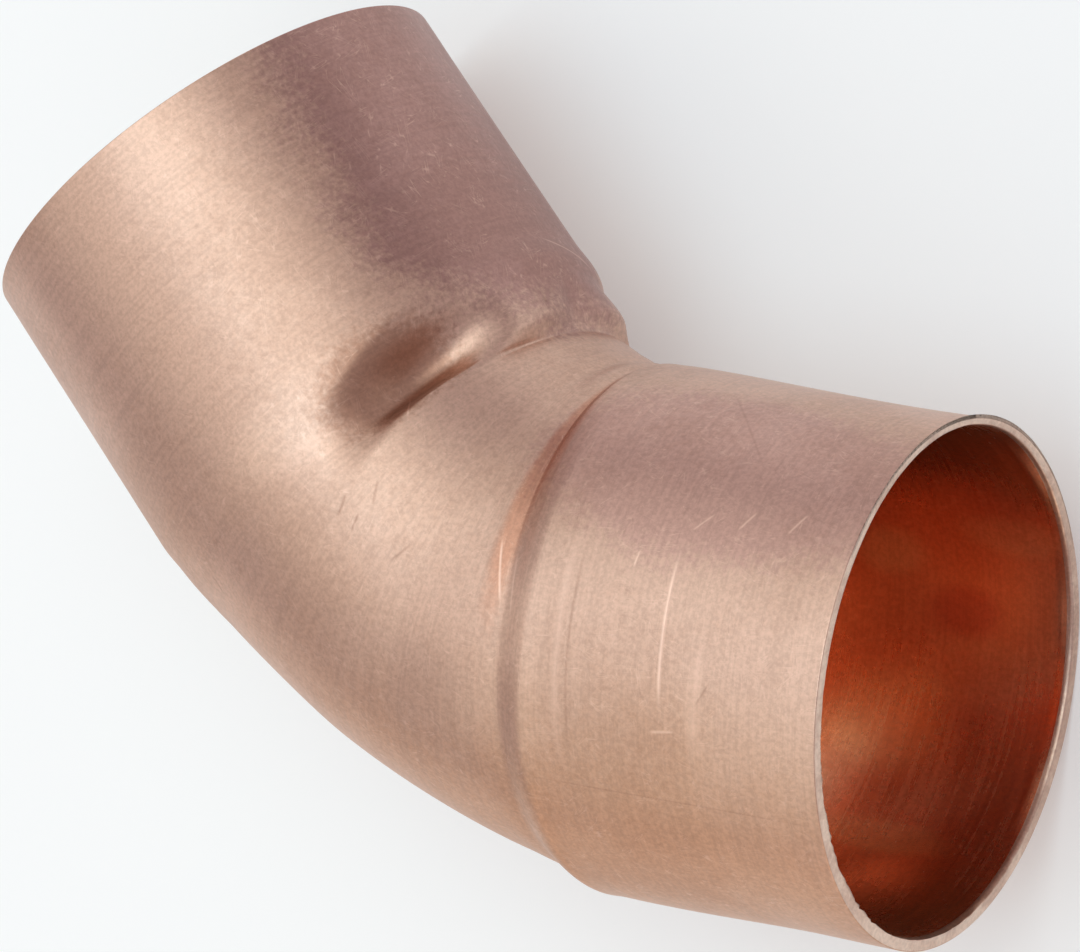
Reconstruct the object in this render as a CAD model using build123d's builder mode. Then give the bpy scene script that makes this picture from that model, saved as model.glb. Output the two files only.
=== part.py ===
"""Forty-five degree copper elbow for solder joints.

One piece of copper tube: a tight bend between two sockets, each drawn up to take the pipe.
The first socket points along +X with its mouth at the origin. The bend lies flat in the XY
plane, +Z is up, and the second socket points back and to the +Y side.
"""

from build123d import *
from collections import namedtuple
from math import cos, radians, sin
import os

# Pipe and wall, in millimetres
pipe_diameter = 42.0
pipe_clearance = 0.10
wall = 1.1

# Sockets: the depth is where the bore ends and the step that stops the pipe begins
socket_depth = 27.0
first_step_length = 2.9
second_step_length = 7.4
mouth_bevel = 0.4
rim_bevel = 0.25

# Bend, with the radius of its outside in the throat
bend_angle = 45.0
throat_radius = 10.7

# Reach of the tube's outside from its own centre line: towards the back of the bend, towards the
# throat inside it, and up or down. The back is flattened in the middle of the bend, at the crown,
# and the throat is pinched towards the second socket.
Reach = namedtuple("Reach", "back throat side")
first_neck = Reach(back=20.7, throat=22.1, side=21.4)
crown = Reach(back=19.3, throat=21.2, side=21.4)
second_neck = Reach(back=20.7, throat=20.3, side=21.4)

# Number of cross-sections that carry each surface: the first step is a plain taper, and the second
# one eases in and out
taper_sections = 2
ease_sections = 4
bend_sections = 9

# Worked out from the sizes above. The outside closes in a little deeper than the bore does, so
# that the wall keeps its thickness on the step.
bore_radius = (pipe_diameter + pipe_clearance) / 2
socket_radius = bore_radius + wall
bore_end = Reach(bore_radius, bore_radius, bore_radius)
socket_end = Reach(socket_radius, socket_radius, socket_radius)
first_lag = wall * (socket_radius - first_neck.side) / first_step_length
second_lag = wall * (socket_radius - second_neck.side) / second_step_length
first_straight = socket_depth + first_lag + first_step_length
second_straight = socket_depth + second_lag + second_step_length
bend_radius = throat_radius + crown.throat
bend_centre = Vector(-first_straight, bend_radius)


def cross_plane(origin, heading):
    """Plane across the tube: its local x is up, and its local y points to the back of the bend."""
    return Plane(origin=origin, x_dir=(0, 0, 1), z_dir=heading)


def bend_plane(share):
    """Plane across the bend, from its start at the first socket (share 0) to the second (share 1)."""
    turn = radians(bend_angle * share)
    outward = Vector(-sin(turn), -cos(turn))
    return cross_plane(bend_centre + outward * bend_radius, Vector(cos(turn), -sin(turn)))


def first_plane(depth):
    """Plane across the first leg, at a depth from its mouth."""
    start = bend_plane(0)
    return cross_plane(start.origin + start.z_dir * (first_straight - depth), start.z_dir)


def second_plane(depth):
    """Plane across the second leg, at a depth from its mouth."""
    start = bend_plane(1)
    return cross_plane(start.origin - start.z_dir * (second_straight - depth), start.z_dir)


def blend(start, end, share):
    """Reach between two others: all of the start at share 0 and all of the end at share 1."""
    return Reach(*[a + (b - a) * share for a, b in zip(start, end)])


def inset(reach, depth):
    """Reach of a surface that lies a depth inside another."""
    return Reach(*[r - depth for r in reach])


def tube_section(plane, reach):
    """Closed section of two half ellipses of one width, the back's and the throat's."""
    with BuildSketch(plane) as section:
        with BuildLine():
            EllipticalCenterArc((0, 0), reach.side, reach.back, 0, arc_size=180)
            EllipticalCenterArc((0, 0), reach.side, reach.throat, 180, arc_size=180)
        make_face()
    return section.sketch


def step_stations(leg_plane, start, end, socket, neck, count):
    """Sections of one step, from the socket to the neck. More than two of them ease in and out."""
    shares = [n / (count - 1) for n in range(count)]
    eased = [s * s * (3 - 2 * s) for s in shares]
    return [
        tube_section(leg_plane(start + (end - start) * s), blend(socket, neck, e))
        for s, e in zip(shares, eased)
    ]


def bend_stations(depth):
    """Sections of the bend, from the first neck over the crown to the second neck."""
    sections = []
    for n in range(bend_sections):
        share = n / (bend_sections - 1)
        neck = blend(first_neck, second_neck, share)
        reach = blend(neck, crown, sin(radians(180 * share)))
        sections.append(tube_section(bend_plane(share), inset(reach, depth)))
    return sections


# Elbow, the outside first: both sockets, both steps and the bend between them
with BuildPart() as elbow:
    first_start = socket_depth + first_lag
    with BuildSketch(first_plane(0)):
        Circle(socket_radius)
    extrude(amount=-first_start)
    loft(sections=step_stations(
        first_plane, first_start, first_straight, socket_end, first_neck, taper_sections))
    second_start = socket_depth + second_lag
    with BuildSketch(second_plane(0)):
        Circle(socket_radius)
    extrude(amount=second_start)
    loft(sections=step_stations(
        second_plane, second_start, second_straight, socket_end, second_neck, ease_sections))
    loft(sections=bend_stations(0))

    # Waterway: both bores down to the pipe stop, and the same passage one wall further in
    with BuildSketch(first_plane(0)):
        Circle(bore_radius)
    extrude(amount=-socket_depth, mode=Mode.SUBTRACT)
    first_inner_neck = inset(first_neck, wall)
    loft(sections=step_stations(
        first_plane, socket_depth, first_straight, bore_end, first_inner_neck, taper_sections),
        mode=Mode.SUBTRACT)
    with BuildSketch(second_plane(0)):
        Circle(bore_radius)
    extrude(amount=socket_depth, mode=Mode.SUBTRACT)
    second_inner_neck = inset(second_neck, wall)
    loft(sections=step_stations(
        second_plane, socket_depth, second_straight, bore_end, second_inner_neck, ease_sections),
        mode=Mode.SUBTRACT)
    loft(sections=bend_stations(wall), mode=Mode.SUBTRACT)

    # Mouths: the bore's edge is bevelled so that the pipe starts in, and the outer edge is broken
    mouths = elbow.faces().filter_by(GeomType.PLANE)
    chamfer([mouth.outer_wire().edge() for mouth in mouths], rim_bevel)
    mouths = elbow.faces().filter_by(GeomType.PLANE)
    chamfer([mouth.inner_wires()[0].edge() for mouth in mouths], mouth_bevel)

elbow.part.label = "elbow"
os.makedirs("parts", exist_ok=True)
export_step(elbow.part, "parts/elbow.step")
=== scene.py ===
"""Looks of the forty-five degree copper elbow: its shell, its finishes and the studio around it."""

import logging
import math
from dataclasses import dataclass, field, replace
from enum import Enum, IntEnum

import bpy
import numpy as np
from mathutils import Matrix, Vector


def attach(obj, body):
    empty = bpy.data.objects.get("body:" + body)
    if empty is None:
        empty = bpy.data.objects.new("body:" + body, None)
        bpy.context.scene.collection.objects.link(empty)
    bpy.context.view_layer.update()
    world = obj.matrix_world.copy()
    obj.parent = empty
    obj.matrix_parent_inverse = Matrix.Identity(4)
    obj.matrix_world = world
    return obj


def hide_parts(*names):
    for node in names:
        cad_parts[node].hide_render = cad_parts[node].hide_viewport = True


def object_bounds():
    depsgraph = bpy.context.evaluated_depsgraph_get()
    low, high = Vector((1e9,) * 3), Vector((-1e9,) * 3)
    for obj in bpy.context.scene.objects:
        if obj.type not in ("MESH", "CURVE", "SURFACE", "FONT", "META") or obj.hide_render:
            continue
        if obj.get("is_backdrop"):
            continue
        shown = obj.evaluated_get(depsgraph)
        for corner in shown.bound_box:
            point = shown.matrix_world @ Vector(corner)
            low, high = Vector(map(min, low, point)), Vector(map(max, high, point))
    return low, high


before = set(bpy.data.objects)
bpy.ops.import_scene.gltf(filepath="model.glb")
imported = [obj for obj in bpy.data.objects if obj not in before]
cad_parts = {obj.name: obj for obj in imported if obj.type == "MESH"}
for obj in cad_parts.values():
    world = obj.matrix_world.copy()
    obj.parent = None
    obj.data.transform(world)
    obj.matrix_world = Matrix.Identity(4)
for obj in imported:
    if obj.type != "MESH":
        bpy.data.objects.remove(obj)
CAD_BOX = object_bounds()

log = logging.getLogger("elbow")
MM = 0.001
Array = np.ndarray
Pair = tuple[float, float]
Triple = tuple[float, float, float]
Socket = bpy.types.NodeSocket

FLOAT, VECTOR = "NodeSocketFloat", "NodeSocketVector"

# The UV map counts decimetres along the tube and turns round it. The outside is 1.39 decimetres round.
MM_PER_UNIT = 100.0
UNITS_PER_METRE = 10.0
DEGREES_PER_TURN = 360.0
GIRTH = 1.39


class Zone(IntEnum):
    """The surfaces of the shell, in the order of its material slots.

    The outside is in two parts, the first socket and the rest of it, each with its own single scratches.
    """

    SOCKET = 0
    RIM = 1
    BORE = 2
    BEND = 3


class Leg(Enum):
    """The two legs, each counted in depth from its own mouth."""

    FIRST = "first"
    SECOND = "second"


def eased(share: Array) -> Array:
    """Share from 0 to 1 with level ends: three times its square less twice its cube."""
    s = np.clip(share, 0.0, 1.0)
    return s * s * (3.0 - 2.0 * s)


def bump(distance: Array, reach: float) -> Array:
    """Smooth hump, 1 at distance 0 and 0 from the reach on: the square of one less the squared share."""
    s = np.clip(np.abs(distance) / reach, 0.0, 1.0)
    return (1.0 - s * s) ** 2


def turned(angle: Array, centre: float) -> Array:
    """Angle from a centre the short way round, in degrees from -180 to 180."""
    return (angle - centre + 180.0) % 360.0 - 180.0


def linked(name: str, data: bpy.types.ID) -> bpy.types.Object:
    """Makes an object of some data and puts it into the scene."""
    made = bpy.data.objects.new(name, data)
    bpy.context.scene.collection.objects.link(made)
    return made


@dataclass(frozen=True)
class Ripple:
    """Slow unevenness around and along a tube: a sum of cosines with seeded turns and phases."""

    seed: int
    waves: int
    most_turns: int
    longest: float
    size: float

    def at(self, along: Array, around: Array) -> Array:
        """Height of the ripple.

        Args:
            along: distance along the tube, in millimetres.
            around: angle round the tube, in degrees.

        Returns:
            Height in millimetres, about as large as size.
        """
        rng = np.random.default_rng(self.seed)
        turns = rng.integers(0, self.most_turns + 1, self.waves)
        rates = rng.uniform(-1.0, 1.0, self.waves) * 2.0 * math.pi / self.longest
        phases = rng.uniform(0.0, 2.0 * math.pi, self.waves)
        a = np.radians(around)[..., None]
        total = np.cos(turns * a + rates * along[..., None] + phases).sum(-1)
        return self.size * total / math.sqrt(self.waves)


@dataclass(frozen=True)
class Swell:
    """A broad swelling of the outside, or a dent where its height is negative.

    Places along are in millimetres from the first mouth. Places around are in degrees from the back, 0, by
    the side, 90, to the throat, 180, the same above and below.
    """

    along: float
    around: float
    reach: float
    spread: float
    height: float

    def at(self, along: Array, around: Array) -> Array:
        """Height of the swelling: its own height times a hump along and a hump around."""
        return self.height * bump(along - self.along, self.reach) * bump(around - self.around, self.spread)


@dataclass(frozen=True)
class Crease:
    """A fold pressed into the outside along a slanting line, or a ridge where its height is positive.

    The line crosses the middle angle at its place along and leans by so many millimetres for each degree.
    The fold reaches a different way before it, towards the first mouth, and after it. It may be sharp on
    either side.
    """

    along: float
    lean: float
    middle: float
    spread: float
    before: float
    after: float
    height: float
    sharp_before: float = 0.0
    sharp_after: float = 0.0

    def at(self, along: Array, around: Array) -> Array:
        """Height of the fold: on each side a mix of a round hump and a sharp one, times a hump around."""
        off = around - self.middle
        gap = along - self.along - self.lean * off
        reach = np.where(gap < 0.0, self.before, self.after)
        sharp = np.where(gap < 0.0, self.sharp_before, self.sharp_after)
        share = np.clip(np.abs(gap) / reach, 0.0, 1.0)
        profile = sharp * (1.0 - share) ** 2 + (1.0 - sharp) * (1.0 - share * share) ** 2
        return self.height * profile * bump(off, self.spread)


@dataclass(frozen=True)
class Reach:
    """Distance of the outside from the centre line at the back, in the throat and to the sides, in mm."""

    back: float
    throat: float
    side: float


@dataclass
class ElbowShell:
    """The whole fitting as one closed shell: outside, far rim, bore and near rim, one grid round the wall.

    Lengths are in millimetres, and the tube's are those of the solid. Both mouths lean out of square.
    """

    bore_radius: float = 21.05
    wall: float = 1.1
    socket_depth: float = 27.0
    first_step: float = 2.9
    second_step: float = 7.4
    first_neck: Reach = Reach(20.7, 22.1, 21.4)
    crown: Reach = Reach(19.3, 21.2, 21.4)
    second_neck: Reach = Reach(20.7, 20.3, 21.4)
    throat_radius: float = 10.7
    bend_angle: float = 45.0
    columns: int = 256
    socket_spacing: float = 0.62
    first_step_spacing: float = 0.20
    bend_spacing: float = 0.33
    second_step_spacing: float = 0.24
    second_rows: int = 34
    edge_rounding: float = 0.08
    bore_relief: float = 0.75
    second_shrink: float = 0.22
    mouth_lean: float = 0.30
    second_skew: float = -1.15
    second_short: float = 0.25
    burr_height: float = 0.36
    burr_middle: float = 20.0
    burr_spread: float = 95.0
    ripple: Ripple = Ripple(seed=11, waves=9, most_turns=5, longest=26.0, size=0.03)
    bore_ripple: Ripple = Ripple(seed=5, waves=14, most_turns=9, longest=14.0, size=0.13)
    rim_ripple: Ripple = Ripple(seed=3, waves=12, most_turns=40, longest=60.0, size=0.035)
    swells: tuple[Swell, ...] = (
        Swell(23.0, 0.0, 16.0, 100.0, 0.32),
        Swell(29.4, 10.0, 3.2, 70.0, 0.26),
        Swell(5.0, 180.0, 24.0, 80.0, -0.46),
        Swell(36.3, 180.0, 4.2, 40.0, 0.42),
        Swell(43.0, 180.0, 5.5, 60.0, 0.20),
        Swell(61.3, 180.0, 3.8, 50.0, 0.38),
        Swell(57.2, 20.0, 3.6, 60.0, 0.28),
        Swell(50.5, 20.0, 6.0, 60.0, -0.22),
        Swell(32.5, 70.0, 7.5, 48.0, 0.42),
    )
    creases: tuple[Crease, ...] = (
        Crease(31.2, 0.03, 136.0, 46.0, 2.0, 2.4, -0.38, 0.3, 0.7),
        Crease(57.0, 0.12, 126.0, 24.0, 4.0, 4.0, -1.25, 0.0, 0.2),
        Crease(56.5, 0.05, 137.0, 22.0, 2.3, 4.2, -1.75, 0.0, 0.0),
        Crease(56.5, 0.05, 163.0, 23.0, 1.9, 4.0, 1.35, 0.4, 0.0),
    )

    def __post_init__(self) -> None:
        """Works out the sizes that follow from the others."""
        self.socket_radius = self.bore_radius + self.wall
        first_lag = self.wall * (self.socket_radius - self.first_neck.side) / self.first_step
        second_lag = self.wall * (self.socket_radius - self.second_neck.side) / self.second_step
        self.first_start = self.socket_depth + first_lag
        self.second_start = self.socket_depth + second_lag
        self.first_straight = self.first_start + self.first_step
        self.second_straight = self.second_start + self.second_step
        self.bend_radius = self.throat_radius + self.crown.throat
        self.bend_length = self.bend_radius * math.radians(self.bend_angle)
        self.full_length = self.first_straight + self.bend_length + self.second_straight

    def stations(self) -> Array:
        """Places of the cross-sections along the centre line, closer together at the rims and the steps.

        Returns:
            Distances in millimetres from the first mouth to the second, the first 0.
        """
        full = self.full_length
        near = np.array([0.0, 0.01, 0.03, 0.06, 0.10, 0.15, 0.22, 0.34, 0.5, 0.75, 1.1, 1.6])
        socket_begins, step_begins, past_step = 2.2, 25.5, 3.0
        bend_short, second_step_depth, gap_after_step = 2.0, 24.0, 0.5
        first = np.arange(socket_begins, step_begins, self.socket_spacing)
        step = np.arange(step_begins, self.first_straight + past_step, self.first_step_spacing)
        bend_ends = full - self.second_straight - bend_short
        bend = np.arange(step[-1] + self.bend_spacing, bend_ends, self.bend_spacing)
        second_step = np.arange(bend[-1] + self.second_step_spacing, full - second_step_depth,
                                self.second_step_spacing)
        second = np.linspace(second_step[-1] + gap_after_step, full - socket_begins, self.second_rows)
        return np.concatenate([near, first, step, bend, second_step, second, full - near[::-1]])

    def centre_line(self, along: Array) -> tuple[Array, Array, Array]:
        """Two straight legs joined by an arc that bends by the bend angle.

        Args:
            along: distances from the first mouth, in millimetres.

        Returns:
            Points, unit directions towards the first mouth, and unit directions to the back of the bend.
        """
        share = np.clip((along - self.first_straight) / self.bend_length, 0.0, 1.0)
        turn = np.radians(self.bend_angle) * share
        zero = np.zeros_like(turn)
        heading = np.stack([np.cos(turn), -np.sin(turn), zero], -1)
        outward = np.stack([-np.sin(turn), -np.cos(turn), zero], -1)
        centre = np.array([-self.first_straight, self.bend_radius, 0.0])
        before = np.maximum(self.first_straight - along, 0.0)
        after = np.maximum(along - self.first_straight - self.bend_length, 0.0)
        point = centre + outward * self.bend_radius + heading * (before - after)[:, None]
        return point, heading, outward

    def leg_depths(self, along: Array) -> tuple[Array, Array]:
        """Depth of each place from the first mouth and from the second, in millimetres."""
        return along, self.full_length - along

    def reaches(self, along: Array) -> tuple[Array, Array, Array]:
        """Reach of the outside at the back, throat and side: socket, step, neck and crown blended in turn.

        Args:
            along: distances from the first mouth, in millimetres.

        Returns:
            The three reaches at each place, in millimetres.
        """
        first, second = self.leg_depths(along)
        share = np.clip((along - self.first_straight) / self.bend_length, 0.0, 1.0)
        crown = np.sin(np.pi * share)
        down_first = 1.0 - eased((first - self.first_start) / self.first_step)
        down_second = 1.0 - eased((second - self.second_start) / self.second_step)
        found: list[Array] = []
        for name in ("back", "throat", "side"):
            neck_first = getattr(self.first_neck, name)
            neck_second = getattr(self.second_neck, name)
            neck = neck_first + (neck_second - neck_first) * share
            reach = neck + (getattr(self.crown, name) - neck) * crown
            reach = reach + (self.socket_radius - reach) * down_first
            reach = reach + (self.socket_radius - self.second_shrink - reach) * down_second
            found.append(reach)
        return tuple(found)

    def relief(self, along: Array, around: Array) -> Array:
        """Dents, folds and ridges that forming left on the outside, outward counted positive: their sum.

        The first socket has a groove at the foot of its step beside the throat. The second has a deep dent
        there, with a ridge beside it. The ripple fades out towards the mouths, so that the rims stay even.

        Args:
            along: distances from the first mouth, one per row.
            around: angles from the back, one per column, in degrees; 90 is up and 180 the throat.

        Returns:
            Heights in millimetres, rows by columns.
        """
        first, second = (d[:, None] for d in self.leg_depths(along))
        row, column = self.spread(along, around)
        folded = np.abs(turned(column, 0.0))
        even, fade = 1.0, 4.0
        height = self.ripple.at(row, column) * eased((first - even) / fade) * eased((second - even) / fade)
        for form in (*self.swells, *self.creases):
            height = height + form.at(row, folded)
        return height

    def spread(self, along: Array, around: Array) -> tuple[Array, Array]:
        """One distance and one angle for every point of a grid, rows by columns."""
        return along[:, None] + 0.0 * around[None, :], around[None, :] + 0.0 * along[:, None]

    def skin(self, along: Array, around: Array, inset: Array, relief: Array) -> Array:
        """Points of one surface: half ellipses of the reaches less the inset, plus the relief.

        Args:
            along: distances from the first mouth, one per row.
            around: angles from the back, one per column, in degrees.
            inset: depth below the outside, one per row.
            relief: heights, rows by columns.

        Returns:
            Points in millimetres, rows by columns by three.
        """
        point, _, outward = self.centre_line(along)
        back, throat, side = self.reaches(along)
        a = np.radians(around)
        cosine, sine = np.cos(a), np.sin(a)
        flat = np.where(cosine[None, :] > 0.0, (back - inset)[:, None], (throat - inset)[:, None]) + relief
        tall = (side - inset)[:, None] + relief
        up = np.array([0.0, 0.0, 1.0])
        across = (flat * cosine[None, :])[..., None] * outward[:, None, :]
        return point[:, None, :] + across + (tall * sine[None, :])[..., None] * up

    def edge_inset(self, depth: Array) -> Array:
        """Inset near a mouth that rounds its outer edge over, as a quarter circle does."""
        gap = np.clip(1.0 - depth / self.edge_rounding, 0.0, 1.0)
        return self.edge_rounding * (1.0 - np.sqrt(np.clip(1.0 - gap * gap, 0.0, 1.0)))

    def grid(self) -> tuple[Array, Array, Array, Array]:
        """Closed loop of rows: outside from mouth to mouth, second rim, bore back again, first rim.

        Returns:
            Points in millimetres, the distance along the line and the zone of each row, and the angles.
        """
        around = np.arange(self.columns) * 360.0 / self.columns
        outer = self.stations()
        first, second = self.leg_depths(outer)
        inset = self.edge_inset(first) + self.edge_inset(second)
        outside = self.skin(outer, around, inset, self.relief(outer, around))

        bore_begins = 1.0
        inner = outer[::-1]
        inner = inner[(inner > bore_begins) & (inner < self.full_length - bore_begins)]
        keep = np.ones(len(inner), bool)
        keep[1:-1:2] = False
        inner = inner[keep]
        inside_relief = self.bore_relief * self.relief(inner, around)
        inside_relief = inside_relief + self.bore_ripple.at(*self.spread(inner, around))
        inside = self.skin(inner, around, np.full(len(inner), self.wall), inside_relief)

        far_rim, far_rows = self.rim(around, Leg.SECOND)
        near_rim, near_rows = self.rim(around, Leg.FIRST)
        points = np.concatenate([outside, far_rim, inside, near_rim[::-1]])
        rows = np.concatenate([outer, far_rows, inner, near_rows[::-1]])
        zones = np.concatenate([
            np.where(outer < self.first_start, Zone.SOCKET, Zone.BEND), np.full(len(far_rows), Zone.RIM),
            np.full(len(inner), Zone.BORE), np.full(len(near_rows), Zone.RIM)])
        return points, rows, zones, around

    def rim(self, around: Array, leg: Leg) -> tuple[Array, Array]:
        """Rows of one rim: a flat ring, then a small bevel, with a ragged burr on the first rim.

        Args:
            around: angles from the back, in degrees.
            leg: the leg whose mouth this is.

        Returns:
            Rows of points from the outer edge to the bore, and their distances along the line.
        """
        depths = np.array([0.0, 0.0, 0.0, 0.02, 0.06, 0.15, 0.32, 0.60])
        insets = np.array([0.16, 0.54, 0.90, 0.94, 0.98, 1.03, 1.07, 1.1])
        ring_waver, burr_inward, burr_outward = 0.25, 0.3, 0.8
        along = depths if leg is Leg.FIRST else self.full_length - depths
        waver = self.rim_ripple.at(*self.spread(np.zeros(len(depths)), around))
        burr = np.zeros_like(waver)
        if leg is Leg.FIRST:
            rng = np.random.default_rng(23)
            jag = rng.uniform(0.15, 1.0, self.columns)
            reach = bump(turned(around, self.burr_middle), self.burr_spread)
            rise = np.array([0.25, 1.0, 0.5])
            burr[2:5] = rise[:, None] * (jag * reach * self.burr_height)[None, :]
        points = self.skin(along, around, insets, ring_waver * waver - burr * burr_inward)
        _, heading, _ = self.centre_line(along)
        sign = 1.0 if leg is Leg.FIRST else -1.0
        points = points + (sign * burr)[..., None] * heading[:, None, :] * burr_outward
        return points, along

    def lean_mouths(self, points: Array, rows: Array, around: Array) -> Array:
        """Leans both mouths out of square, fading out over each socket's depth.

        The lean is a cosine of the angle round the mouth, and on the second one a sine as well.
        """
        first, second = self.leg_depths(rows)
        _, heading, _ = self.centre_line(rows)
        fade_first = np.clip(1.0 - first / self.socket_depth, 0.0, 1.0)[:, None]
        fade_second = np.clip(1.0 - second / self.socket_depth, 0.0, 1.0)[:, None]
        a = np.radians(around)[None, :]
        lean = self.mouth_lean * np.cos(a)
        skew = self.second_skew * np.sin(a)
        shift = fade_first * lean - fade_second * (lean + skew - self.second_short)
        return points + shift[..., None] * heading[:, None, :]

    def build(self) -> bpy.types.Object:
        """Puts the grid into a mesh with a UV map along and around the tube.

        Returns:
            The shell, at the origin, with one material index per zone.
        """
        points, rows, zones, around = self.grid()
        points = self.lean_mouths(points, rows, around) * MM
        count_rows, count_columns = points.shape[:2]
        row = np.arange(count_rows)[:, None]
        column = np.arange(count_columns)[None, :]
        next_row = (row + 1) % count_rows
        next_column = (column + 1) % count_columns
        corners = [(row, column), (row, next_column), (next_row, next_column), (next_row, column)]
        quads = np.stack([(r * count_columns + c + 0 * row + 0 * column).ravel() for r, c in corners], -1)
        mesh = bpy.data.meshes.new("elbow_shell")
        mesh.vertices.add(count_rows * count_columns)
        mesh.vertices.foreach_set("co", points.reshape(-1).astype(np.float32))
        mesh.loops.add(quads.size)
        mesh.loops.foreach_set("vertex_index", quads.ravel().astype(np.int32))
        mesh.polygons.add(len(quads))
        mesh.polygons.foreach_set("loop_start", (np.arange(len(quads)) * 4).astype(np.int32))
        mesh.polygons.foreach_set("use_smooth", np.ones(len(quads), bool))
        into_rim = (np.roll(zones, -1) == Zone.RIM) & (zones != Zone.BORE)
        zone = np.where(into_rim, Zone.RIM, zones)
        mesh.polygons.foreach_set("material_index", np.repeat(zone, count_columns).astype(np.int32))
        self.write_uv(mesh, points, rows, zones)
        mesh.update()
        mesh.validate()
        return linked("elbow_shell", mesh)

    def write_uv(self, mesh: bpy.types.Mesh, points: Array, rows: Array, zones: Array) -> None:
        """Writes the UV map: across is the distance along the tube in decimetres, up the share of a turn.

        The far rim, the bore and the near rim follow on across, so no two of them share a place.

        Args:
            mesh: the shell's mesh.
            points: its grid of points.
            rows: distance along the line of each row.
            zones: zone of each row.
        """
        count_rows, count_columns = points.shape[:2]
        steps = np.diff(points, axis=0, append=points[:1])
        run = np.linalg.norm(steps, axis=-1).mean(1) * UNITS_PER_METRE
        plain = np.abs(np.diff(rows, append=rows[:1])) / MM_PER_UNIT
        across = np.concatenate([[0.0], np.cumsum(np.where(zones == Zone.RIM, run, plain))])
        turn = np.arange(count_columns + 1) / count_columns
        u0, u1 = across[:-1, None], across[1:, None]
        v0, v1 = turn[None, :-1], turn[None, 1:]
        wide = np.zeros((count_rows, count_columns))
        corners = [(u0, v0), (u0, v1), (u1, v1), (u1, v0)]
        uv = np.stack([np.stack([u + wide, v + wide], -1) for u, v in corners], 2)
        layer = mesh.uv_layers.new(name="tube")
        layer.data.foreach_set("uv", uv.reshape(-1).astype(np.float32))


class NodeBench:
    """Small helper that adds and links the nodes of one tree."""

    # Places of the sockets for colours on a mix node, where several sockets share one name
    MIX_SHARE, MIX_FIRST, MIX_SECOND, MIX_RESULT = 0, 6, 7, 2

    def __init__(self, tree: bpy.types.NodeTree) -> None:
        """Keeps the tree to work on."""
        self.tree = tree

    def add(self, kind: str, settings: dict | None = None, **values: object) -> bpy.types.Node:
        """Adds a node.

        Args:
            kind: Blender's name of the node type.
            settings: attributes of the node itself.
            values: default values of its inputs, with blanks in their names as underscores.

        Returns:
            The new node.
        """
        node = self.tree.nodes.new(kind)
        for name, value in (settings or {}).items():
            setattr(node, name, value)
        for name, value in values.items():
            node.inputs[name.replace("_", " ")].default_value = value
        return node

    def link(self, source: Socket, target: Socket) -> None:
        """Links an output to an input."""
        self.tree.links.new(source, target)

    def math(self, operation: str, first: object, second: object = 0.0, clamp: bool = False) -> Socket:
        """Adds a math node whose inputs are sockets or numbers, and returns its output."""
        node = self.add("ShaderNodeMath", {"operation": operation, "use_clamp": clamp})
        self.feed(first, node.inputs[0])
        self.feed(second, node.inputs[1])
        return node.outputs["Value"]

    def times(self, first: object, second: object) -> Socket:
        """Adds a math node that multiplies, and returns its output."""
        return self.math("MULTIPLY", first, second)

    def vector(self, operation: str, first: object, second: object = (0.0, 0.0, 0.0),
               scale: object = 1.0) -> Socket:
        """Adds a vector math node whose inputs are sockets or values, and returns its output."""
        node = self.add("ShaderNodeVectorMath", {"operation": operation})
        self.feed(first, node.inputs[0])
        self.feed(second, node.inputs[1])
        if operation == "SCALE":
            self.feed(scale, node.inputs["Scale"])
        return node.outputs["Value" if operation in ("LENGTH", "DOT_PRODUCT") else "Vector"]

    def feed(self, value: object, entry: Socket) -> None:
        """Links a socket into an input, or sets the input to a plain value."""
        if isinstance(value, Socket):
            self.link(value, entry)
        else:
            entry.default_value = value

    def ranged(self, value: Socket, low: float, high: float, to_low: float = 0.0,
               to_high: float = 1.0) -> Socket:
        """Maps a value smoothly from one range to another, held at both ends, and returns the output."""
        node = self.add("ShaderNodeMapRange", {"interpolation_type": "SMOOTHSTEP", "clamp": True},
                        From_Min=low, From_Max=high, To_Min=to_low, To_Max=to_high)
        self.link(value, node.inputs["Value"])
        return node.outputs["Result"]

    def mix(self, share: object, first: object, second: object, blend: str = "MIX") -> Socket:
        """Mixes two colours by a share and returns the result."""
        node = self.add("ShaderNodeMix", {"data_type": "RGBA", "blend_type": blend, "clamp_factor": True})
        self.feed(share, node.inputs[self.MIX_SHARE])
        self.feed(first, node.inputs[self.MIX_FIRST])
        self.feed(second, node.inputs[self.MIX_SECOND])
        return node.outputs[self.MIX_RESULT]

    def noise(self, vector: Socket, scale: float, detail: float, roughness: float) -> Socket:
        """Adds a noise texture and returns its value."""
        node = self.add("ShaderNodeTexNoise", Scale=scale, Detail=detail, Roughness=roughness)
        self.link(vector, node.inputs["Vector"])
        return node.outputs["Fac"]


def emptied_bench(owner: bpy.types.ID) -> NodeBench:
    """Turns nodes on for a material or a world, clears them and gives the bench to build on."""
    owner.use_nodes = True
    owner.node_tree.nodes.clear()
    return NodeBench(owner.node_tree)


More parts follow.
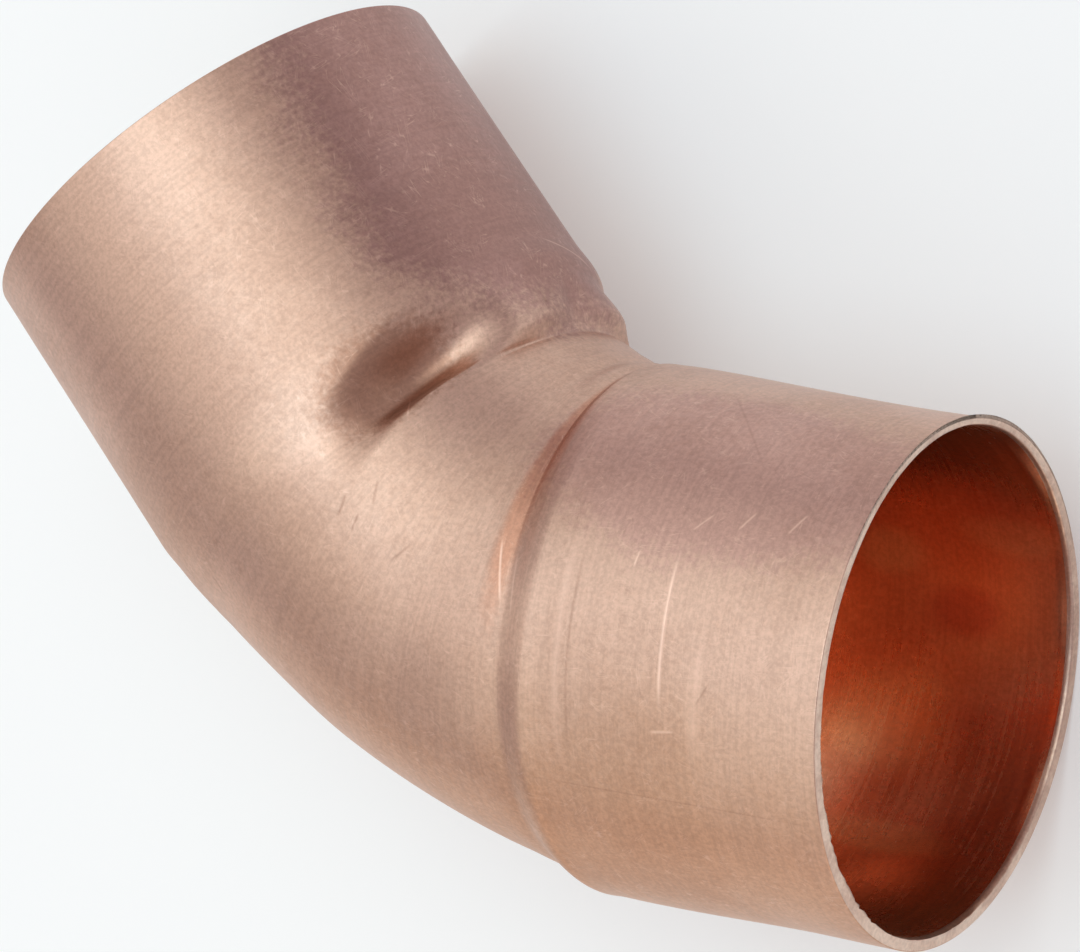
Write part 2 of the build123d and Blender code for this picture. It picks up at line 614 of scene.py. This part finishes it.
class EffectGroup:
    """A shader node group with named inputs and outputs, built once and placed in several materials."""

    name = "effect"
    inputs: tuple[tuple[str, str, object], ...] = ()
    outputs: tuple[tuple[str, str], ...] = ()

    def __init__(self) -> None:
        """Makes the group's tree, its sockets and its inside."""
        self.tree = bpy.data.node_groups.new(self.name, "ShaderNodeTree")
        for label, kind, value in self.inputs:
            socket = self.tree.interface.new_socket(name=label, in_out="INPUT", socket_type=kind)
            if value is not None:
                socket.default_value = value
        for label, kind in self.outputs:
            self.tree.interface.new_socket(name=label, in_out="OUTPUT", socket_type=kind)
        self.bench = NodeBench(self.tree)
        self.entry = self.bench.add("NodeGroupInput").outputs
        self.exit = self.bench.add("NodeGroupOutput").inputs
        self.fill()

    def fill(self) -> None:
        """Adds the nodes inside the group."""
        raise NotImplementedError

    def place(self, bench: NodeBench, **values: object) -> bpy.types.bpy_prop_collection:
        """Places the group in a material.

        Args:
            bench: the material's bench.
            values: sockets or plain values for the group's inputs, blanks in their names as underscores.

        Returns:
            The outputs of the placed group.
        """
        node = bench.add("ShaderNodeGroup", {"node_tree": self.tree})
        for label, value in values.items():
            bench.feed(value, node.inputs[label.replace("_", " ")])
        return node.outputs


class DrawnGrain(EffectGroup):
    """Fine lines round the tube and along it, as drawing and sizing leave them, and a fine even grain."""

    name = "drawn_grain"
    inputs = (("Tube", VECTOR, None), ("Place", VECTOR, None))
    outputs = (("Rings", FLOAT), ("Lines", FLOAT), ("Grain", FLOAT))
    ring_scale = (260.0, 9.0, 1.0)
    line_scale = (14.0, 420.0, 1.0)
    grain_scale = 2600.0

    def fill(self) -> None:
        """Noise stretched round the tube, noise stretched along it, and plain fine noise."""
        b = self.bench
        rings = b.vector("MULTIPLY", self.entry["Tube"], self.ring_scale)
        lines = b.vector("MULTIPLY", self.entry["Tube"], self.line_scale)
        b.link(b.noise(rings, 1.0, 3.0, 0.6), self.exit["Rings"])
        b.link(b.noise(lines, 1.0, 3.0, 0.6), self.exit["Lines"])
        b.link(b.noise(self.entry["Place"], self.grain_scale, 2.0, 0.7), self.exit["Grain"])


class Tarnish(EffectGroup):
    """Soft cloudy patches with a speckled edge, for thin oxide on copper."""

    name = "tarnish"
    inputs = (("Place", VECTOR, None), ("Scale", FLOAT, 60.0), ("Level", FLOAT, 0.5),
              ("Speckle", FLOAT, 0.25))
    outputs = (("Mask", FLOAT),)
    speckle_scale = 1400.0
    contrast = 5.0

    def fill(self) -> None:
        """Large noise plus a share of fine noise, cut softly at the level."""
        b = self.bench
        place = self.entry["Place"]
        cloud = b.add("ShaderNodeTexNoise", Detail=3.0, Roughness=0.55)
        b.link(place, cloud.inputs["Vector"])
        b.link(self.entry["Scale"], cloud.inputs["Scale"])
        fine = b.noise(place, self.speckle_scale, 2.0, 0.6)
        speckled = b.times(b.math("SUBTRACT", fine, 0.5), self.entry["Speckle"])
        total = b.math("SUBTRACT", b.math("ADD", cloud.outputs["Fac"], speckled), self.entry["Level"])
        b.link(b.math("ADD", b.times(total, self.contrast), 0.5, clamp=True), self.exit["Mask"])


class FineScratches(EffectGroup):
    """Short thin scratches at all angles: ridges of noise stretched along four turned directions.

    Each direction has its turn in radians and the noise's scales across the scratches and along them.
    """

    name = "fine_scratches"
    inputs = (("Tube", VECTOR, None), ("Shift", VECTOR, (0.0, 0.0, 0.0)), ("Amount", FLOAT, 0.5))
    outputs = (("Mask", FLOAT),)
    directions = ((0.2, 300.0, 34.0), (1.15, 260.0, 30.0), (-0.8, 330.0, 40.0), (1.7, 290.0, 26.0))
    line_width = 0.03
    patch_scale = (70.0, 34.0, 1.0)
    patch_range = (0.55, 0.68)

    def fill(self) -> None:
        """For each direction the noise's middle value is a thin line, kept where a second noise is high."""
        b = self.bench
        total: object = 0.0
        square = b.vector("MULTIPLY", self.entry["Tube"], (1.0, GIRTH, 1.0))
        shifted = b.vector("ADD", square, self.entry["Shift"])
        for turn, across, along in self.directions:
            rotate = b.add("ShaderNodeVectorRotate", {"rotation_type": "Z_AXIS"}, Angle=turn)
            b.link(shifted, rotate.inputs["Vector"])
            drawn = b.vector("MULTIPLY", rotate.outputs["Vector"], (across, along, 1.0))
            off_middle = b.math("ABSOLUTE", b.math("SUBTRACT", b.noise(drawn, 1.0, 0.0, 0.5), 0.5))
            thin = b.ranged(off_middle, 0.0, self.line_width, 1.0, 0.0)
            wide = b.vector("MULTIPLY", rotate.outputs["Vector"], self.patch_scale)
            patch = b.ranged(b.noise(wide, 1.0, 1.0, 0.5), *self.patch_range)
            total = b.math("MAXIMUM", total, b.times(thin, patch))
        b.link(b.math("MULTIPLY", total, self.entry["Amount"], clamp=True), self.exit["Mask"])


class ScratchMark(EffectGroup):
    """One straight scratch between two places of the tube, thin and fading at both ends."""

    name = "scratch_mark"
    inputs = (("Tube", VECTOR, None), ("Start", VECTOR, (0.0, 0.0, 0.0)), ("End", VECTOR, (0.1, 0.1, 0.0)),
              ("Width", FLOAT, 0.002))
    outputs = (("Mask", FLOAT),)
    end_fade = 6.0
    end_strength = 0.15

    def fill(self) -> None:
        """One less the distance to the segment over the width, with a turn counted at the tube's girth."""
        b = self.bench
        flat = (1.0, GIRTH, 0.0)
        place = b.vector("MULTIPLY", self.entry["Tube"], flat)
        start = b.vector("MULTIPLY", self.entry["Start"], flat)
        end = b.vector("MULTIPLY", self.entry["End"], flat)
        run = b.vector("SUBTRACT", end, start)
        off = b.vector("SUBTRACT", place, start)
        top = b.vector("DOT_PRODUCT", off, run)
        base = b.vector("DOT_PRODUCT", run, run)
        share = b.math("DIVIDE", top, base, clamp=True)
        nearest = b.vector("SCALE", run, scale=share)
        gap = b.vector("LENGTH", b.vector("SUBTRACT", off, nearest))
        thin = b.math("SUBTRACT", 1.0, b.math("DIVIDE", gap, self.entry["Width"]), clamp=True)
        middle = b.times(share, b.math("SUBTRACT", 1.0, share))
        fade = b.math("MULTIPLY", middle, self.end_fade, clamp=True)
        b.link(b.times(thin, b.math("MAXIMUM", fade, self.end_strength)), self.exit["Mask"])


class StainAndPaintedLightPatch(EffectGroup):
    """An oval tinted patch on the tube with a soft edge that breaks up into grain: thin oxide, and also
    painted shade and painted highlights.
    """

    name = "stain_and_painted_light_patch"
    inputs = (("Tube", VECTOR, None), ("Place", VECTOR, None), ("Centre", VECTOR, (0.0, 0.0, 0.0)),
              ("Reach", VECTOR, (0.1, 0.1, 1.0)), ("Softness", FLOAT, 0.3), ("Speckle", FLOAT, 0.3))
    outputs = (("Mask", FLOAT),)
    grain_scale = 1900.0
    cloud_scale = 90.0
    cloud_share = 0.55

    def fill(self) -> None:
        """Distance from the centre over the reach, the short way round, plus noise, then eased."""
        b = self.bench
        place = self.entry["Place"]
        off = b.vector("SUBTRACT", self.entry["Tube"], self.entry["Centre"])
        parts = b.add("ShaderNodeSeparateXYZ")
        b.link(off, parts.inputs["Vector"])
        turn = b.math("SUBTRACT", b.math("FRACT", b.math("ADD", parts.outputs["Y"], 0.5)), 0.5)
        joined = b.add("ShaderNodeCombineXYZ")
        b.link(parts.outputs["X"], joined.inputs["X"])
        b.link(turn, joined.inputs["Y"])
        gap = b.vector("LENGTH", b.vector("DIVIDE", joined.outputs["Vector"], self.entry["Reach"]))
        fine = b.math("SUBTRACT", b.noise(place, self.grain_scale, 2.0, 0.65), 0.5)
        cloud = b.math("SUBTRACT", b.noise(place, self.cloud_scale, 3.0, 0.6), 0.5)
        grains = b.times(fine, self.entry["Speckle"])
        broken = b.math("ADD", grains, b.times(cloud, self.cloud_share))
        rest = b.math("SUBTRACT", 1.0, b.math("ADD", gap, broken))
        share = b.math("ADD", b.math("DIVIDE", rest, self.entry["Softness"]), 0.5, clamp=True)
        b.link(b.ranged(share, 0.0, 1.0), self.exit["Mask"])


def on_map(place: Pair, depth: float = 0.0) -> Triple:
    """A place or a reach in millimetres along and degrees round, in the units of the UV map."""
    return place[0] / MM_PER_UNIT, place[1] / DEGREES_PER_TURN, depth


@dataclass(frozen=True)
class Scratch:
    """A single mark on the outside, from one place to another.

    A place is the distance along the tube from the first mouth in millimetres, and the angle round it in
    degrees from the back. The width is in millimetres. A mark of negative strength is dark, others bright.
    """

    start: Pair
    end: Pair
    width: float
    strength: float


@dataclass(frozen=True)
class StainAndPaintedLight:
    """A tinted patch, for tarnish and for painted shade and highlights: its middle, how far it reaches
    along and round, its edge and its colour filter.

    Places are given as for a scratch. The bore follows the far rim on the map and runs back, so a place on
    it counts 182.2 less its distance from the first mouth.
    """

    middle: Pair
    reach: Pair
    softness: float
    speckle: float
    filter: Triple


@dataclass
class Effects:
    """The shared groups, built once."""

    grain: DrawnGrain = field(default_factory=DrawnGrain)
    tarnish: Tarnish = field(default_factory=Tarnish)
    scratches: FineScratches = field(default_factory=FineScratches)
    mark: ScratchMark = field(default_factory=ScratchMark)
    stain_and_light: StainAndPaintedLightPatch = field(default_factory=StainAndPaintedLightPatch)


@dataclass(frozen=True)
class Masks:
    """What one material works with: places on the piece and on its map, and the value of each effect."""

    place: Socket
    tube: Socket
    rings: Socket
    lines: Socket
    grain: Socket
    tarnish: Socket
    light: Socket
    dark: Socket


@dataclass(frozen=True)
class CopperFinish:
    """A copper surface: its colours, its gloss and how strong each effect is. Depths are in metres."""

    name: str
    bright: Triple
    dull: Triple
    roughness: float
    roughness_spread: float
    ring_depth: float
    line_depth: float
    grain_depth: float
    scratch_depth: float
    tarnish_scale: float
    tarnish_level: float
    tarnish_speckle: float
    scratch_gain: float
    grain_contrast: float = 0.12
    grain_share: float = 0.6
    dark_gain: float = 0.8
    dark_share: float = 0.55
    dark_filter: Triple = (0.52, 0.45, 0.42)
    light_share: float = 0.75
    light_gloss: float = 0.08
    marks: tuple[Scratch, ...] = ()
    stains_and_painted_light: tuple[StainAndPaintedLight, ...] = ()

    def material(self, effects: Effects) -> bpy.types.Material:
        """Builds the material.

        Args:
            effects: the shared groups.

        Returns:
            A node material with one Principled shader.
        """
        made = bpy.data.materials.new(self.name)
        b = emptied_bench(made)
        shader = b.add("ShaderNodeBsdfPrincipled", Metallic=1.0)
        output = b.add("ShaderNodeOutputMaterial")
        b.link(shader.outputs["BSDF"], output.inputs["Surface"])
        masks = self.masks(b, effects)
        b.link(self.colour(b, effects, masks), shader.inputs["Base Color"])
        b.link(self.gloss(b, masks), shader.inputs["Roughness"])
        height = self.height(b, masks)
        relief = b.add("ShaderNodeBump", Strength=1.0, Distance=1.0)
        b.link(height, relief.inputs["Height"])
        b.link(relief.outputs["Normal"], shader.inputs["Normal"])
        return made

    def masks(self, b: NodeBench, effects: Effects) -> Masks:
        """Places the grain, the tarnish, the fine scratches and each single one."""
        place = b.add("ShaderNodeTexCoord").outputs["Object"]
        tube = b.add("ShaderNodeUVMap", {"uv_map": "tube"}).outputs["UV"]
        grain = effects.grain.place(b, Tube=tube, Place=place)
        tarnish = effects.tarnish.place(b, Place=place, Scale=self.tarnish_scale, Level=self.tarnish_level,
                                        Speckle=self.tarnish_speckle)["Mask"]
        light = effects.scratches.place(b, Tube=tube, Amount=self.scratch_gain)["Mask"]
        dark = effects.scratches.place(b, Tube=tube, Shift=(3.1, 1.7, 0.0),
                                       Amount=self.dark_gain * self.scratch_gain)["Mask"]
        for mark in self.marks:
            placed = effects.mark.place(b, Tube=tube, Start=on_map(mark.start), End=on_map(mark.end),
                                        Width=mark.width / MM_PER_UNIT)["Mask"]
            placed = b.times(placed, abs(mark.strength))
            if mark.strength < 0.0:
                dark = b.math("MAXIMUM", dark, placed)
            else:
                light = b.math("MAXIMUM", light, placed)
        return Masks(place, tube, grain["Rings"], grain["Lines"], grain["Grain"], tarnish, light, dark)

    def colour(self, b: NodeBench, effects: Effects, masks: Masks) -> Socket:
        """Bright and dull copper by the tarnish, then stains with painted shade and highlights, grain, dark
        scratches and bright ones.
        """
        colour = b.mix(masks.tarnish, (*self.bright, 1.0), (*self.dull, 1.0))
        # Tint patches: tarnish, painted shade and painted highlights, as each list notes.
        for stain_and_light in self.stains_and_painted_light:
            mask = effects.stain_and_light.place(b, Tube=masks.tube, Place=masks.place, Centre=on_map(stain_and_light.middle),
                                       Reach=on_map(stain_and_light.reach, 1.0), Softness=stain_and_light.softness,
                                       Speckle=stain_and_light.speckle)["Mask"]
            colour = b.mix(mask, colour, b.mix(1.0, colour, (*stain_and_light.filter, 1.0), "MULTIPLY"))
        grains = b.math("ADD", b.times(masks.grain, self.grain_share),
                        b.times(masks.rings, 1.0 - self.grain_share))
        shade = b.ranged(grains, 0.35, 0.65, 1.0 - self.grain_contrast, 1.0 + 0.6 * self.grain_contrast)
        colour = b.mix(1.0, colour, self.grey(b, shade), "MULTIPLY")
        dark = b.times(masks.dark, self.dark_share)
        colour = b.mix(dark, colour, b.mix(1.0, colour, (*self.dark_filter, 1.0), "MULTIPLY"))
        lifted = tuple(min(1.0, c * 1.30 + 0.06) for c in self.bright)
        return b.mix(b.times(masks.light, self.light_share), colour, (*lifted, 1.0))

    def gloss(self, b: NodeBench, masks: Masks) -> Socket:
        """Roughness: the finish's own, varied by the rings, more on tarnish, less in bright scratches."""
        rough = b.times(b.math("SUBTRACT", masks.rings, 0.5), self.roughness_spread)
        rough = b.math("ADD", rough, b.times(masks.tarnish, 0.5 * self.roughness_spread))
        rough = b.math("ADD", rough, self.roughness)
        return b.math("SUBTRACT", rough, b.times(masks.light, self.light_gloss), clamp=True)

    def height(self, b: NodeBench, masks: Masks) -> Socket:
        """Height of the fine relief in metres: rings, lines and grain, less the scratches."""
        height = b.times(masks.rings, self.ring_depth)
        height = b.math("ADD", height, b.times(masks.lines, self.line_depth))
        height = b.math("ADD", height, b.times(masks.grain, self.grain_depth))
        cuts = b.math("ADD", masks.light, masks.dark)
        return b.math("SUBTRACT", height, b.times(cuts, self.scratch_depth))

    def grey(self, bench: NodeBench, value: Socket) -> Socket:
        """A grey colour of the given value."""
        joined = bench.add("ShaderNodeCombineColor")
        for name in ("Red", "Green", "Blue"):
            bench.link(value, joined.inputs[name])
        return joined.outputs["Color"]


SOCKET_MARKS = (
    Scratch((14.9, 116.0), (14.3, 82.0), 0.24, 1.0),
    Scratch((24.4, 117.0), (24.0, 70.0), 0.55, 0.40),
    Scratch((23.5, 117.0), (22.9, 66.0), 0.22, -0.55),
    Scratch((11.0, 98.0), (11.2, 73.0), 0.90, 0.35),
    Scratch((18.5, 115.0), (18.6, 111.0), 0.16, 0.9),
    Scratch((5.1, 129.6), (6.2, 123.8), 0.16, 0.8),
    Scratch((9.6, 127.9), (10.6, 123.0), 0.16, 0.8),
    Scratch((13.1, 126.0), (14.6, 121.0), 0.14, 0.7),
    Scratch((9.8, 90.4), (11.1, 84.6), 0.16, -0.8),
    Scratch((12.8, 78.6), (15.2, 77.6), 0.18, 0.7),
    Scratch((0.4, 62.8), (28.5, 61.6), 0.12, -0.5),
    Scratch((19.5, 165.0), (11.0, 139.0), 0.16, -0.5),
)
BEND_MARKS = (
    Scratch((32.3, 112.5), (30.4, 98.0), 0.20, 0.9),
    Scratch((30.0, 110.0), (29.2, 96.0), 0.14, 0.6),
    Scratch((50.6, 102.4), (49.6, 97.0), 0.24, -1.0),
    Scratch((48.3, 101.2), (47.7, 96.8), 0.20, -1.0),
    Scratch((49.1, 109.5), (47.6, 104.5), 0.24, -0.8),
    Scratch((41.8, 103.4), (43.0, 97.0), 0.22, -0.9),
    Scratch((52.6, 124.0), (55.6, 128.5), 0.16, 0.7),
    Scratch((57.8, 168.4), (57.9, 169.6), 0.45, -1.0),
    Scratch((64.0, 180.0), (61.0, 198.0), 0.16, 0.6),
    Scratch((55.2, 52.4), (54.2, 50.4), 0.22, -0.8),
)
SKIN_STAINS_AND_PAINTED_SHADE = (
    # Painted shade, partly thin oxide: the throat side of the second leg, made darker and mauve.
    StainAndPaintedLight((77.0, 177.0), (21.0, 42.0), 0.35, 0.50, (0.66, 0.585, 0.66)),
    # Painted shade, partly thin oxide: the throat side of the first socket, made darker and mauve.
    StainAndPaintedLight((14.0, 139.0), (20.0, 24.0), 0.45, 0.60, (0.88, 0.82, 0.88)),
    StainAndPaintedLight((14.0, 10.0), (26.0, 62.0), 0.80, 0.30, (0.90, 0.80, 0.68)),
    StainAndPaintedLight((46.0, 15.0), (24.0, 46.0), 0.80, 0.30, (0.95, 0.88, 0.80)),
    # Painted shade: the groove at the foot of the first step, made darker and redder.
    StainAndPaintedLight((31.4, 134.0), (1.7, 34.0), 0.70, 0.35, (0.90, 0.72, 0.64)),
    # Painted shade: the dent at the second step, made darker, with a grainy edge.
    StainAndPaintedLight((57.4, 126.0), (4.0, 17.0), 0.60, 1.00, (0.76, 0.67, 0.62)),
)
BORE_PAINTED_LIGHT_PATCHES = (
    # Painted highlights: paler, more orange patches in the bore.
    StainAndPaintedLight((164.2, 290.0), (5.5, 12.0), 0.90, 0.15, (1.07, 1.50, 1.60)),
    StainAndPaintedLight((168.2, 320.0), (6.0, 4.5), 0.90, 0.10, (1.07, 1.45, 1.50)),
    StainAndPaintedLight((162.7, 250.0), (3.5, 6.0), 0.80, 0.10, (1.06, 1.40, 1.45)),
    StainAndPaintedLight((175.2, 241.0), (4.5, 5.0), 0.90, 0.10, (1.05, 1.30, 1.35)),
    StainAndPaintedLight((171.7, 276.0), (5.5, 8.0), 0.90, 0.15, (1.06, 1.30, 1.35)),
    # A darker patch in the bore.
    StainAndPaintedLight((170.2, 262.0), (3.5, 6.0), 0.90, 0.10, (0.80, 0.62, 0.66)),
)
SATIN_SKIN = CopperFinish(
    name="satin_copper", bright=(0.65, 0.425, 0.33), dull=(0.59, 0.375, 0.285), roughness=0.40,
    roughness_spread=0.10, ring_depth=3.5e-6, line_depth=2e-6, grain_depth=6e-6, scratch_depth=8e-6,
    tarnish_scale=55.0, tarnish_level=0.52, tarnish_speckle=0.35, scratch_gain=0.34,
    marks=SOCKET_MARKS, stains_and_painted_light=SKIN_STAINS_AND_PAINTED_SHADE)
BEND_SKIN = replace(SATIN_SKIN, name="satin_copper_bend", marks=BEND_MARKS)
CUT_RIM = CopperFinish(
    name="cut_copper", bright=(0.74, 0.55, 0.44), dull=(0.62, 0.43, 0.34), roughness=0.34,
    roughness_spread=0.14, ring_depth=3e-6, line_depth=4e-6, grain_depth=6e-6, scratch_depth=6e-6,
    tarnish_scale=200.0, tarnish_level=0.5, tarnish_speckle=0.5, scratch_gain=0.3)
RED_BORE = CopperFinish(
    name="red_bore_copper", bright=(0.93, 0.47, 0.28), dull=(0.77, 0.34, 0.19), roughness=0.24,
    roughness_spread=0.16, ring_depth=3e-6, line_depth=2e-6, grain_depth=6e-6, scratch_depth=2e-6,
    tarnish_scale=45.0, tarnish_level=0.5, tarnish_speckle=0.30, scratch_gain=0.08, stains_and_painted_light=BORE_PAINTED_LIGHT_PATCHES)


@dataclass
class Elbow:
    """The fitting: its shell and the finishes on it, one for each zone."""

    shape: ElbowShell = field(default_factory=ElbowShell)
    finishes: tuple[CopperFinish, ...] = (SATIN_SKIN, CUT_RIM, RED_BORE, BEND_SKIN)

    def make(self, effects: Effects) -> list[bpy.types.Object]:
        """Builds and dresses the shell, and sets it in place of the CAD node.

        Args:
            effects: the shared groups.

        Returns:
            The pieces made.
        """
        shell = self.shape.build()
        for finish in self.finishes:
            shell.data.materials.append(finish.material(effects))
        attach(shell, "root")
        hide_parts("elbow")
        return [shell]


@dataclass(frozen=True)
class Lamp:
    """A soft round lamp.

    Its heading from +X towards +Y and its height above the floor are in degrees, its width in metres. Its
    level is how bright its face is, where 1 is white.
    """

    name: str
    heading: float
    height: float
    level: float
    colour: Triple
    width: float = 0.62


@dataclass
class Studio:
    """Pale floor, soft lamps and the camera, around a fitting that lies on the floor."""

    floor_level: float
    camera_place: Triple = (233.71, 72.69, 444.27)
    camera_right: Triple = (0.8406999, 0.0951639, -0.5330737)
    camera_down: Triple = (0.1428381, -0.9885426, 0.0487932)
    lens: float = 207.506
    floor_size: float = 3.0
    floor_grey: float = 0.72
    floor_lift: float = 0.25
    room_level: float = 0.49
    room_colour: Triple = (1.0, 0.89, 0.94)
    lamp_target: Triple = (-0.04, 0.012, 0.0)
    lamps: tuple[Lamp, ...] = (
        Lamp("top_lamp", 0.0, 90.0, 1.60, (0.76, 1.02, 1.13)),
        Lamp("key_lamp", 60.0, 60.0, 1.10, (0.87, 1.0, 0.96)),
        Lamp("back_lamp_near", 120.0, 60.0, 0.92, (0.86, 1.02, 1.0)),
        Lamp("back_lamp_middle", 180.0, 60.0, 0.33, (0.95, 1.0, 0.90)),
        Lamp("back_lamp_far", 240.0, 60.0, 0.70, (0.88, 1.0, 0.88)),
        Lamp("side_lamp_near", 120.0, 30.0, 0.40, (0.86, 1.0, 0.90)),
        Lamp("side_lamp_middle", 180.0, 30.0, 0.40, (0.86, 1.0, 0.90)),
        Lamp("side_lamp_far", 240.0, 30.0, 0.40, (0.88, 1.0, 0.86)),
        Lamp("low_lamp", 270.0, 8.0, 1.15, (1.0, 0.84, 0.60)),
    )

    def make_floor(self) -> bpy.types.Object:
        """A wide pale floor, shadowed as any other, and lifted where a camera or a gloss sees it."""
        size, level = self.floor_size, self.floor_level
        corners = [(-size, -size, level), (size, -size, level), (size, size, level), (-size, size, level)]
        mesh = bpy.data.meshes.new("studio_floor")
        mesh.from_pydata(corners, [], [(0, 1, 2, 3)])
        floor = linked("studio_floor", mesh)
        made = bpy.data.materials.new("pale_floor")
        b = emptied_bench(made)
        grey = self.floor_grey
        matte = b.add("ShaderNodeBsdfDiffuse", Color=(grey, grey, grey, 1.0))
        glow = b.add("ShaderNodeEmission", Color=(1.0, 1.0, 1.0, 1.0))
        rays = b.add("ShaderNodeLightPath").outputs
        seen = b.math("MAXIMUM", rays["Is Camera Ray"], rays["Is Glossy Ray"])
        seen = b.math("MAXIMUM", seen, rays["Is Transmission Ray"])
        b.link(b.times(seen, self.floor_lift), glow.inputs["Strength"])
        both = b.add("ShaderNodeAddShader")
        b.link(matte.outputs["BSDF"], both.inputs[0])
        b.link(glow.outputs["Emission"], both.inputs[1])
        output = b.add("ShaderNodeOutputMaterial")
        b.link(both.outputs["Shader"], output.inputs["Surface"])
        mesh.materials.append(made)
        floor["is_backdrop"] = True
        return floor

    def make_world(self) -> None:
        """A plain pale room for the light, the same all round."""
        world = bpy.data.worlds.new("studio_world")
        b = emptied_bench(world)
        backdrop = b.add("ShaderNodeBackground", Color=(*self.room_colour, 1.0), Strength=self.room_level)
        output = b.add("ShaderNodeOutputWorld")
        b.link(backdrop.outputs["Background"], output.inputs["Surface"])
        bpy.context.scene.world = world

    def make_lamp(self, lamp: Lamp) -> bpy.types.Object:
        """Hangs one lamp a metre from the fitting and faces it there.

        Args:
            lamp: what the lamp is and where it hangs.

        Returns:
            Its light.
        """
        data = bpy.data.lights.new(lamp.name, "AREA")
        data.shape = "DISK"
        data.size = lamp.width
        data.energy = math.pi * lamp.level * lamp.width ** 2
        data.color = lamp.colour
        light = linked(lamp.name, data)
        turn, rise = math.radians(lamp.heading), math.radians(lamp.height)
        toward = Vector((math.cos(turn) * math.cos(rise), math.sin(turn) * math.cos(rise), math.sin(rise)))
        facing = toward.to_track_quat("Z", "Y").to_matrix().to_4x4()
        light.matrix_world = Matrix.Translation(Vector(self.lamp_target) + toward) @ facing
        return light

    def make_camera(self) -> bpy.types.Object:
        """The camera, placed and turned as the photograph was taken."""
        right, down = Vector(self.camera_right).normalized(), Vector(self.camera_down).normalized()
        back = right.cross(-down)
        turn = Matrix((right, -down, back)).transposed().to_4x4()
        data = bpy.data.cameras.new("camera")
        data.sensor_width = 36.0
        data.lens = self.lens
        data.clip_start, data.clip_end = 0.05, 50.0
        camera = linked("camera", data)
        camera.matrix_world = Matrix.Translation(Vector(self.camera_place) * MM) @ turn
        bpy.context.scene.camera = camera
        return camera

    def make(self) -> None:
        """Sets up the whole studio."""
        self.make_floor()
        self.make_world()
        for lamp in self.lamps:
            self.make_lamp(lamp)
        bpy.context.scene.view_settings.view_transform = "Standard"


def main() -> None:
    """Builds the fitting and the studio around it, and reports each piece."""
    logging.basicConfig(level=logging.INFO, format="%(name)s: %(message)s")
    pieces = Elbow().make(Effects())
    studio = Studio(floor_level=min(CAD_BOX[0][2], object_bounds()[0][2]))
    studio.make_camera()
    studio.make()
    for piece in pieces:
        data = piece.data
        log.info("%s: %d faces, %d materials", piece.name, len(data.polygons), len(data.materials))


if __name__ == "__main__":
    main()
